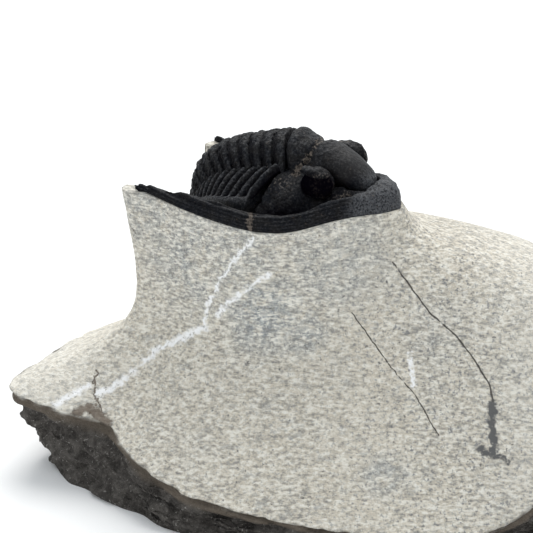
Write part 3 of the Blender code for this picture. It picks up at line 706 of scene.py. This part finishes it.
def make_head(material):
    """Head shield with border, cheek spines, swollen middle, rear knob and eyes."""
    start, end = np.array(HEAD_BOX)
    counts = np.ceil((end - start) / HEAD_PITCH).astype(int) + 1
    axes = [(start[k] + HEAD_PITCH * np.arange(counts[k])).astype(np.float32) for k in range(3)]
    x, y, z = np.meshgrid(*axes, indexing="ij", sparse=True)
    flat_x, flat_y = np.meshgrid(axes[0], axes[1], indexing="ij")
    plan = [layer[:, :, None].astype(np.float32)
            for layer in head_plan(stretched(flat_x, flat_y), np.abs(flat_y))]
    points, quads = surface_of(head_field(x, y, z, plan), start, HEAD_PITCH)
    points = relax(points, quads, 2)
    normals = mesh_normals(points, quads)
    px, py, pz = points.T
    side = np.abs(py)
    local = head_plan(stretched(px, py), side)
    relief, smooth, brim = head_relief(points, local)
    level = pz - EYE_ROLL * py
    eye = (smooth_step((0.3 - ellipsoid(px, side, level, EYE)) / 0.2) * ramp(level, 40.4, -0.4)
           * ramp(level, 37.3, 0.5) * ramp(side, 4.5, 0.8))
    lid = smooth_step(1.0 - np.abs(ellipsoid(px, side, level, LID)) / 0.3)
    lid = lid * ramp(level, 40.2, 0.3)
    relief += (0.35 * lid + 0.2 * eye) * grain(points, 1.1, 15) - 0.4 * eye * relief
    points = points + normals * relief[:, None]
    furrow_line = at_shares(np.array(NECK_FURROW), np.linspace(0.0, 1.0, 12))
    spots = np.stack([px, side, pz], axis=1)
    away = np.min([np.linalg.norm(spots - p, axis=1) for p in furrow_line], axis=0)
    dust = 0.75 * ramp(away, 0.8, -0.5)
    border = ramp(local[1], 1.9, -0.3)
    patch = bump(px, 3.7, 0.5) * ramp(side, 9.5, 0.8) * border * (py < 0.0)
    below_eye = 0.55 * bump(local[1], 2.4, 0.5) * ramp(px, 8.0, 1.5)
    below_eye = below_eye * ramp(px, 15.0, -2.0)
    crust = 0.95 * lid * ramp(side, 5.6, -0.6) * smooth_step(grain(points, 0.9, 17) * 3.0 + 0.6)
    crumbs = 0.4 * bump(side, 5.8, 1.3) * bump(px, 5.0, 2.0)
    dust = np.max([dust, patch, crust, below_eye, crumbs], axis=0)
    # Painted shade: the furrow inside the border, beside the cheeks, is painted near black.
    shade = 0.9 * bump(local[1], 2.5, 0.9) * smooth_step((px + 1.0) / 2.0) * ramp(px, 15.5, -4.0)
    world = from_fossil(points)
    # Painted shade: the eye, dark in itself and shaded under its lid, is painted near black too; the lighter
    # grey of high places and the brim is partly wear and partly painted highlight.
    fields = {"dust": dust, "scuff_and_highlight": np.clip(0.02 + 3.4 * relief + 0.8 * brim, 0.0, 1.0) * (1.0 - eye),
              "polish": smooth * (px > 7.5) * (local[1] > 2.0), "grit": brim,
              "painted_shade": np.maximum(eye, shade * (1.0 - dust))}
    return add_piece("head_shield", world, quads.tolist(), "cephalon", material, fields)


# Thorax and tail

def division(step):
    """Top, foot, half widths and sweep of the body at running segment numbers."""
    drop = (PITCHES[0] - PITCHES[1]) / SEGMENTS
    length = step * (PITCHES[0] - 0.5 * drop * step)
    share = length / (SEGMENTS * (PITCHES[0] - 0.5 * drop * SEGMENTS))
    top = at_shares(smooth_line(RING_TOPS), share)
    back = smooth_step(step / SEGMENTS)
    return (top, blend(*THORAX_FLOOR_XS, share), blend(*AXIS_HALF_WIDTHS, back),
            blend(*BODY_HALF_WIDTHS, back ** BODY_NARROWING), blend(*PLEURA_SWEEPS, back))


def half_section():
    """Fine half cross-section of the body, as axial shares, pleural shares and heights."""
    axial, pleural, height = SECTION_SIZE
    flat = np.array([(axial * a + pleural * b, height * up) for a, b, up in BODY_SECTION])
    dense = at_shares(smooth_line(flat), np.linspace(0.0, 1.0, SECTION_POINTS))
    across = dense[:, 0]
    outer = np.maximum(across - axial, 0.0) / pleural
    return np.minimum(across / axial, 1.0), outer, np.maximum(dense[:, 1] / height, 0.0)


def body_rows(step, t, parts, relief):
    """Rows of body points for running numbers, closed along the pocket's floor."""
    top, foot_x, axis, width, sweep = parts
    inner, outer, up = half_section()
    y = inner * axis[:, None] + outer * (width - axis)[:, None]
    lift = up + relief(step[:, None], t[:, None], inner, outer) * np.minimum(up * 4.0, 1.0)
    foot_z = pocket_floor(foot_x) + 0.1
    swept = sweep[:, None] * np.maximum(y - axis[:, None], 0.0)
    x = foot_x[:, None] + (top[:, :1] - foot_x[:, None]) * lift - swept
    x = x + RING_ARCH * inner ** 2
    z = foot_z[:, None] + (top[:, 1:] - foot_z[:, None]) * lift
    z = np.where(up < 1e-6, pocket_floor(x) + 0.1, z)
    right = np.stack([x, -y, z], axis=2)[:, 1:]
    left = np.stack([x, y, z], axis=2)[:, ::-1]
    whole = [np.broadcast_to(m, x.shape) for m in (inner, outer, up)]
    masks = [np.concatenate([m[:, ::-1], m[:, 1:]], axis=1) for m in whole]
    return np.concatenate([left, right], axis=1), masks


def thorax_relief(step, t, inner, outer):
    """Rounded rings, pits in the axial furrow, ribs with gaps between them, and a rim."""
    rear = ramp(step, 4.5, 4.0)
    ring = RING_SWELL * (np.sin(np.pi * np.clip(t, 0.0, 1.0)) ** 0.6 - 0.6)
    groove = -0.014 * bump(t, 0.3, 0.08)
    axial = 1.0 - smooth_step(outer / 0.04)
    rib_window = ramp(outer, 0.05, 0.12) * ramp(outer, 0.9, -0.1)
    depth = blend(*SLOT_DEPTHS, rear)
    slot = -bump(t, 0.8, 0.2) * depth - bump(t, -0.2, 0.2) * depth
    blade = bump(t, 0.28, 0.14) * BLADE_HEIGHT
    furrow = -0.02 * bump(t, 0.52, 0.07)
    first = np.where(step < 1.0, 1.0, 0.0)
    double = first * (0.03 * bump(t, 0.2, 0.25) - 0.03 * bump(t, 0.42, 0.07))
    pit = -PIT_DEPTH * (bump(t, 0.95, 0.22) + bump(t, -0.05, 0.22)) * bump(outer, 0.03, 0.06) * (inner > 0.85)
    ends = -0.03 * (bump(t, 0.0, 0.06) + bump(t, 1.0, 0.06)) * (1.0 - ramp(outer, 0.85, 0.1))
    ribs = rib_window * (slot + blade + furrow + double)
    return axial * (ring + groove) + ribs + pit * (1.0 - rear) + ends


def finish_rows(name, node, rows, masks, material, wear_and_highlight, painted_hollow_shade):
    """Roughen rows of the body, close them at both ends and add the piece."""
    count = rows.shape[1]
    inner, outer, up = (m.ravel() for m in masks)
    normals = grid_normals(rows).reshape(-1, 3)
    points = rows.reshape(-1, 3)
    on_axis = 1.0 - ramp(outer, 0.02, 0.1)
    streaks = points * (1.0, 0.4, 0.4)
    grains = 0.26 * grain(streaks, 0.38, 63) + 0.11 * grain(points, 0.42, 65)
    relief = (0.07 * rough(points, 0.7, 2, 61) + on_axis * grains
              + (1.0 - on_axis) * 0.05 * grain(points, 0.42, 66))
    relief *= smooth_step(up / 0.1) * blend(1.0, 0.35, ramp(outer, 0.86, 0.06))
    points = points + normals * relief[:, None]
    ribs = ramp(outer, 0.06, 0.04) * ramp(outer, 0.93, -0.05)
    crest_highlights, slot_shades = (np.repeat(share, count) for share in (wear_and_highlight, painted_hollow_shade))
    rim = ramp(outer, 0.88, 0.05) * ramp(up, 0.25, 0.05)
    # Painted highlight: the rib crests get the lighter grey, besides the wear on high places and the rim.
    scuff_and_highlight = 0.12 + 3.4 * relief + 1.2 * rim + 1.5 * ribs * crest_highlights + 0.25 * (1.0 - ribs) * crest_highlights
    scuff_and_highlight = np.clip(scuff_and_highlight, 0.0, 1.0)
    # Painted shade: the slots between the ribs, and the axial furrow, are painted near black.
    painted_shade = slot_shades * np.clip(ribs + 0.6 * on_axis, 0.0, 1.0)
    ends = [rows[0].mean(0), rows[-1].mean(0)]
    flat = np.vstack([points, ends])
    faces = closed_faces(rows.shape[0], count)
    fields = {"scuff_and_highlight": with_ends(scuff_and_highlight), "painted_shade": with_ends(painted_shade)}
    return add_piece(name, from_fossil(flat), faces, node, material, fields)


def make_segment(number, material):
    """One segment of the thorax."""
    t = np.linspace(*SEGMENT_SPAN, SEGMENT_ROWS)
    step = number - 1 + t
    rows, masks = body_rows(np.full(SEGMENT_ROWS, number - 0.5), t, division(step), thorax_relief)
    return finish_rows("thorax_ring_%02d" % number, "thorax_segment_%02d" % number, rows, masks, material,
                       bump(t, *CREST_HIGHLIGHT), np.maximum(*(bump(t, *slot) for slot in PAINTED_SLOT_SHADES)))


def make_tail(material):
    """Small tail shield that closes the body, with a few low rings."""
    t = np.linspace(0.0, 1.0, TAIL_ROWS)
    top = at_shares(smooth_line(TAIL_TOPS), t)
    last = division(np.full(TAIL_ROWS, float(SEGMENTS)))
    taper = np.sqrt(1.0 - TAIL_TAPER * t * t)
    parts = (top, blend(THORAX_FLOOR_XS[1], TAIL_FOOT_X, t), last[2] * taper, last[3] * taper,
             last[4] * (1.0 - TAIL_SWEEP_LOSS * t))

    def relief(step, t, inner, outer):
        return TAIL_SWELL * np.cos(2.0 * np.pi * t * TAIL_RINGS) * ramp(outer, 0.9, -0.1)

    rows, masks = body_rows(t * TAIL_RINGS, t, parts, relief)
    return finish_rows("tail_shield", "pygidium", rows, masks, material,
                       np.zeros(TAIL_ROWS), np.zeros(TAIL_ROWS))


# Materials

class Shader:
    """Short calls that build one material's node tree."""

    def __init__(self, name):
        self.material = bpy.data.materials.new(name)
        self.material.use_nodes = True
        self.tree = self.material.node_tree
        self.surface = self.tree.nodes["Principled BSDF"]

    def put(self, socket, value):
        """Link an output, or set a plain value."""
        if isinstance(value, bpy.types.NodeSocket):
            self.tree.links.new(value, socket)
        elif isinstance(value, tuple) and len(value) == 3 and socket.type == "RGBA":
            socket.default_value = (*value, 1.0)
        else:
            socket.default_value = value

    def node(self, kind, **settings):
        """New node with its settings."""
        made = self.tree.nodes.new(kind)
        for key, value in settings.items():
            setattr(made, key, value)
        return made

    def math(self, operation, a, b=0.0, clamp=False):
        """Result of a sum with two numbers."""
        made = self.node("ShaderNodeMath", operation=operation, use_clamp=clamp)
        self.put(made.inputs[0], a)
        self.put(made.inputs[1], b)
        return made.outputs[0]

    def times(self, a, b):
        """Product of two numbers."""
        return self.math("MULTIPLY", a, b)

    def vector(self, operation, a, b=(0.0, 0.0, 0.0)):
        """Result of a sum with two vectors."""
        made = self.node("ShaderNodeVectorMath", operation=operation)
        self.put(made.inputs[0], a)
        self.put(made.inputs[1], b)
        return made.outputs["Value"] if operation in ("LENGTH", "DOT_PRODUCT") else made.outputs[0]

    def mm(self):
        """Coordinates in millimetres of the object's frame."""
        place = self.node("ShaderNodeTexCoord").outputs["Object"]
        return self.vector("MULTIPLY", place, (1000.0, 1000.0, 1000.0))

    def field(self, name):
        """Float attribute of the mesh, 0 where the mesh has none."""
        return self.node("ShaderNodeAttribute", attribute_name=name).outputs["Fac"]

    def noise(self, where, scale, detail=2.0, rough_share=0.5):
        """Cloudy noise, 0 to 1."""
        made = self.node("ShaderNodeTexNoise")
        self.put(made.inputs["Vector"], where)
        made.inputs["Scale"].default_value = scale
        made.inputs["Detail"].default_value = detail
        made.inputs["Roughness"].default_value = rough_share
        return made.outputs["Fac"]

    def between(self, value, low, high):
        """Ramp from 0 at low to 1 at high."""
        made = self.node("ShaderNodeMapRange", interpolation_type="SMOOTHSTEP")
        self.put(made.inputs["Value"], value)
        self.put(made.inputs["From Min"], low)
        self.put(made.inputs["From Max"], high)
        return made.outputs[0]

    def mix(self, share, a, b):
        """Colour between a and b, which are the node's sockets 6 and 7."""
        made = self.node("ShaderNodeMix", data_type="RGBA", blend_type="MIX")
        self.put(made.inputs["Factor"], share)
        self.put(made.inputs[6], a)
        self.put(made.inputs[7], b)
        return made.outputs[2]

    def coat(self, under, mask, paint, share=None):
        """A colour painted over where a mask shows, at full strength or a share of it."""
        mask = mask if share is None else self.times(mask, share)
        return self.mix(mask, under, PAINT[paint])

    def facing_up(self):
        """1 on places that face up, -1 on those that face down."""
        split = self.node("ShaderNodeSeparateXYZ")
        self.put(split.inputs[0], self.node("ShaderNodeNewGeometry").outputs["Normal"])
        return split.outputs["Z"]

    def relief(self, height, distance, strength):
        """Normal bent by a height, over a distance in mm."""
        made = self.node("ShaderNodeBump")
        self.put(made.inputs["Strength"], strength)
        made.inputs["Distance"].default_value = distance * MM
        self.put(made.inputs["Height"], height)
        return made.outputs[0]

    def turned(self, where, angle, scale):
        """Coordinates turned about the view's depth axis (Y), then scaled."""
        made = self.node("ShaderNodeMapping")
        self.put(made.inputs["Vector"], where)
        made.inputs["Rotation"].default_value = (0.0, math.radians(angle), 0.0)
        made.inputs["Scale"].default_value = scale
        return made.outputs[0]

    def near_lines(self, where, lines, outer=1.25, inner=0.6):
        """1 on polylines in mm, 0 away from them."""
        shown = None
        for line, width in lines:
            for a, b in zip(line, line[1:]):
                span = b - a
                from_a = self.vector("SUBTRACT", where, tuple(a))
                t = self.vector("DOT_PRODUCT", from_a, tuple(span / span.length_squared))
                t = self.math("ADD", t, 0.0, clamp=True)
                on_line = self.node("ShaderNodeVectorMath", operation="SCALE")
                self.put(on_line.inputs[0], tuple(span))
                self.put(on_line.inputs["Scale"], t)
                away = self.vector("LENGTH", self.vector("SUBTRACT", from_a, on_line.outputs[0]))
                mask = self.between(away, width * outer, width * inner)
                shown = mask if shown is None else self.math("MAXIMUM", shown, mask)
        return shown


def limestone_material(lines):
    """Pale limestone with tool marks, calcite veins, hairline and brown cracks, a dark broken side, painted
    shade in a brown notch and painted light on its left and right flanks.
    """
    s = Shader("limestone")
    mm = s.mm()
    broken, strip, cool = s.field("broken"), s.field("strip"), s.field("cool")
    wavy = s.node("ShaderNodeTexNoise")
    s.put(wavy.inputs["Vector"], mm)
    wavy.inputs["Scale"].default_value = 1.3
    wavy.inputs["Detail"].default_value = 3.0
    shift = s.vector("SUBTRACT", wavy.outputs["Color"], (0.5, 0.5, 0.5))
    shift = s.vector("MULTIPLY", shift, (1.7, 1.7, 1.7))
    bent = s.vector("ADD", mm, shift)
    split = s.node("ShaderNodeSeparateXYZ")
    s.put(split.inputs[0], mm)
    slant = s.between(split.outputs["X"], -4.0, 14.0)
    flat_marks = s.noise(s.turned(mm, -16.0, (0.75, 1.0, 2.2)), 1.5, 2.0, 0.6)
    steep_marks = s.noise(s.turned(mm, -62.0, (0.75, 1.0, 2.2)), 1.5, 2.0, 0.6)
    marks = s.mix(slant, flat_marks, steep_marks)
    flecks = s.noise(mm, 2.3, 3.0, 0.7)
    fine = s.noise(mm, 5.0, 1.0, 0.5)
    blotch = s.noise(mm, 0.16, 3.0, 0.6)
    ragged = s.noise(mm, 0.75, 4.0, 0.75)
    cool_share = s.times(cool, s.between(ragged, 0.28, 0.6))
    uneven = s.times(s.math("SUBTRACT", blotch, 0.5), 0.8)
    cool_share = s.math("ADD", cool_share, uneven, clamp=True)
    stone = s.mix(cool_share, PAINT["warm"], PAINT["cool"])
    stone = s.coat(stone, s.between(marks, 0.46, 0.66), "light_stroke")
    stone = s.coat(stone, s.between(marks, 0.48, 0.33), "dark_stroke", 0.75)
    strong = s.math("ADD", 0.6, s.times(s.math("MAXIMUM", cool_share, slant), 0.35))
    stone = s.coat(stone, s.between(flecks, 0.5, 0.33), "dark_fleck", strong)
    mottle = s.noise(s.turned(mm, -30.0, (0.8, 1.0, 1.5)), 0.7, 4.0, 0.7)
    stone = s.coat(stone, s.between(mottle, 0.5, 0.68), "light_mottle", 0.45)
    stone = s.coat(stone, s.between(mottle, 0.49, 0.32), "dark_mottle", 0.5)
    # Painted side light: the stone's left and right flanks are painted lighter.
    painted_right_light = s.between(split.outputs["X"], 14.0, 34.0)
    painted_side_light = s.math("MAXIMUM", painted_right_light, s.between(split.outputs["X"], -22.0, -36.0))
    stone = s.coat(stone, painted_side_light, "painted_side_light", 0.3)
    stone = s.coat(stone, s.between(flecks, 0.56, 0.68), "light_fleck", 0.5)
    stone = s.coat(stone, s.between(fine, 0.6, 0.72), "fine_fleck", 0.3)
    pits = s.times(s.between(s.noise(mm, 1.7, 2.0, 0.6), 0.33, 0.25), 0.8)
    stone = s.coat(stone, pits, "pit")
    vein = s.times(s.near_lines(bent, lines["vein"], 2.0, 0.2), s.between(flecks, 0.32, 0.44))
    stone = s.coat(stone, vein, "vein")
    crack = s.near_lines(s.vector("ADD", mm, s.vector("MULTIPLY", shift, (0.2, 0.2, 0.2))), lines["crack"])
    patch = s.times(s.near_lines(bent, lines["patch"]), s.between(ragged, 0.3, 0.5))
    # Brown cracks, and painted shade in the brown notch under the broken side.
    brown_and_notch_shade = s.near_lines(bent, lines["brown_and_notch_shade"])
    stone = s.coat(stone, crack, "crack", 0.9)
    stone = s.coat(stone, patch, "patch")
    stone = s.coat(stone, brown_and_notch_shade, "brown_and_notch_shade", 0.8)
    lumps = s.between(s.noise(mm, 0.7, 4.0, 0.7), 0.35, 0.65)
    dark = s.mix(lumps, PAINT["break_low"], PAINT["break_high"])
    dark = s.coat(dark, s.between(s.noise(mm, 2.6, 3.0, 0.7), 0.58, 0.72), "break_fleck")
    dark = s.coat(dark, strip, "break_edge", 0.8)
    colour = s.mix(broken, stone, dark)
    s.put(s.surface.inputs["Base Color"], colour)
    s.put(s.surface.inputs["Roughness"], s.math("SUBTRACT", 0.92, s.times(vein, 0.25)))
    s.surface.inputs["Specular IOR Level"].default_value = 0.25
    height = s.math("ADD", s.times(marks, 0.8), s.times(flecks, 0.6))
    height = s.math("SUBTRACT", height, s.times(s.math("MAXIMUM", crack, brown_and_notch_shade), 0.8))
    height = s.math("ADD", height, s.times(s.times(fine, broken), 1.2))
    s.put(s.surface.inputs["Normal"], s.relief(height, 0.35, 0.9))
    return s.material


def fossil_material():
    """Black calcite of the shell, scuffed grey on its high places with painted highlight on crests and
    up-facing places, painted shade in slots, furrows and the eyes, and pale matrix left in low ones.
    """
    s = Shader("black_calcite")
    mm = s.mm()
    names = ("dust", "scuff_and_highlight", "polish", "grit", "painted_shade")
    dust, scuff_and_highlight, polish, grit, painted_shade = (s.field(name) for name in names)
    fine = s.noise(mm, 3.4, 3.0, 0.65)
    broad = s.noise(mm, 0.7, 2.0, 0.5)
    specks = s.noise(mm, 5.0, 2.0, 0.6)
    # Painted top light: places that face up get more of the scuffed grey.
    up = s.math("MAXIMUM", s.facing_up(), 0.0)
    shell = s.mix(s.between(broad, 0.35, 0.65), PAINT["shell_cold"], PAINT["shell_warm"])
    wear_and_highlight = s.math("ADD", s.times(scuff_and_highlight, 0.75), s.times(up, 0.3))
    grainy = s.math("ADD", s.times(s.between(fine, 0.42, 0.66), 0.8), 0.15)
    wear_and_highlight = s.times(grainy, wear_and_highlight)
    shell = s.coat(shell, wear_and_highlight, "scuff_and_highlight_grey")
    shell = s.coat(shell, polish, "polished", 0.8)
    shell = s.coat(shell, s.times(grit, s.between(specks, 0.38, 0.64)), "grit")
    crumbs = s.times(s.between(s.noise(mm, 2.4, 3.0, 0.7), 0.64, 0.72), 0.55)
    shell = s.coat(shell, crumbs, "crumb")
    left = s.math("ADD", dust, s.times(s.math("SUBTRACT", fine, 0.5), 3.0))
    left = s.times(s.between(left, 0.45, 1.05), 0.85)
    shell = s.coat(shell, left, "matrix")
    # Painted shade: slots, furrows and the eyes are painted near black, and their reflection is turned down
    # below.
    shell = s.coat(shell, painted_shade, "painted_hollow_shade", 0.92)
    s.put(s.surface.inputs["Base Color"], shell)
    s.put(s.surface.inputs["Roughness"], s.math("ADD", 0.36, s.times(fine, 0.3)))
    gloss = s.math("ADD", 0.12, s.times(s.between(fine, 0.44, 0.68), 0.2))
    gloss = s.math("ADD", gloss, s.times(polish, 0.06))
    s.put(s.surface.inputs["Specular IOR Level"], s.times(gloss, s.math("SUBTRACT", 1.0, painted_shade)))
    height = s.math("ADD", s.noise(mm, 5.0, 3.0, 0.65), s.times(s.noise(mm, 2.6, 1.0, 0.5), 0.8))
    strength = s.math("SUBTRACT", 0.8, s.times(polish, 0.55))
    s.put(s.surface.inputs["Normal"], s.relief(height, 0.22, strength))
    return s.material


# Studio

def make_studio():
    """Pale floor, soft light from above and the photograph's camera."""
    scene = bpy.context.scene
    scene.view_settings.view_transform = "Standard"
    bpy.ops.mesh.primitive_plane_add(size=FLOOR_SIZE, location=(0.0, 0.0, 0.0))
    floor = bpy.context.object
    floor.name = "studio_floor"
    paper = Shader("floor_paper")
    paper.put(paper.surface.inputs["Base Color"], PAINT["floor"])
    paper.surface.inputs["Roughness"].default_value = 0.9
    floor.data.materials.append(paper.material)
    world = bpy.data.worlds.new("studio")
    world.use_nodes = True
    sky = world.node_tree.nodes["Background"]
    sky.inputs[0].default_value = (0.93, 0.97, 1.0, 1.0)
    sky.inputs[1].default_value = SKY_STRENGTH
    scene.world = world
    lamp = bpy.data.lights.new("softbox", "SUN")
    lamp.energy = LIGHT_STRENGTH
    lamp.angle = math.radians(LIGHT_ANGLE)
    lamp.color = (1.0, 0.985, 0.96)
    light = bpy.data.objects.new("softbox", lamp)
    light.rotation_euler = Vector(LIGHT_TOWARDS).to_track_quat("-Z", "Y").to_euler()
    scene.collection.objects.link(light)
    lens = bpy.data.cameras.new("camera")
    lens.lens = CAMERA_LENS
    lens.sensor_width = SENSOR_WIDTH
    lens.clip_start = 0.01
    lens.clip_end = 20.0
    camera = bpy.data.objects.new("camera", lens)
    camera.location = Vector(CAMERA_AT) * MM
    camera.rotation_euler = (Vector(CAMERA_AIM) - Vector(CAMERA_AT)).to_track_quat("-Z", "Y").to_euler()
    scene.collection.objects.link(camera)
    scene.camera = camera


def main():
    """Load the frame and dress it."""
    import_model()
    make_studio()
    make_stone(limestone_material)
    shell = fossil_material()
    make_head(shell)
    for number in range(1, SEGMENTS + 1):
        make_segment(number, shell)
    make_tail(shell)


main()
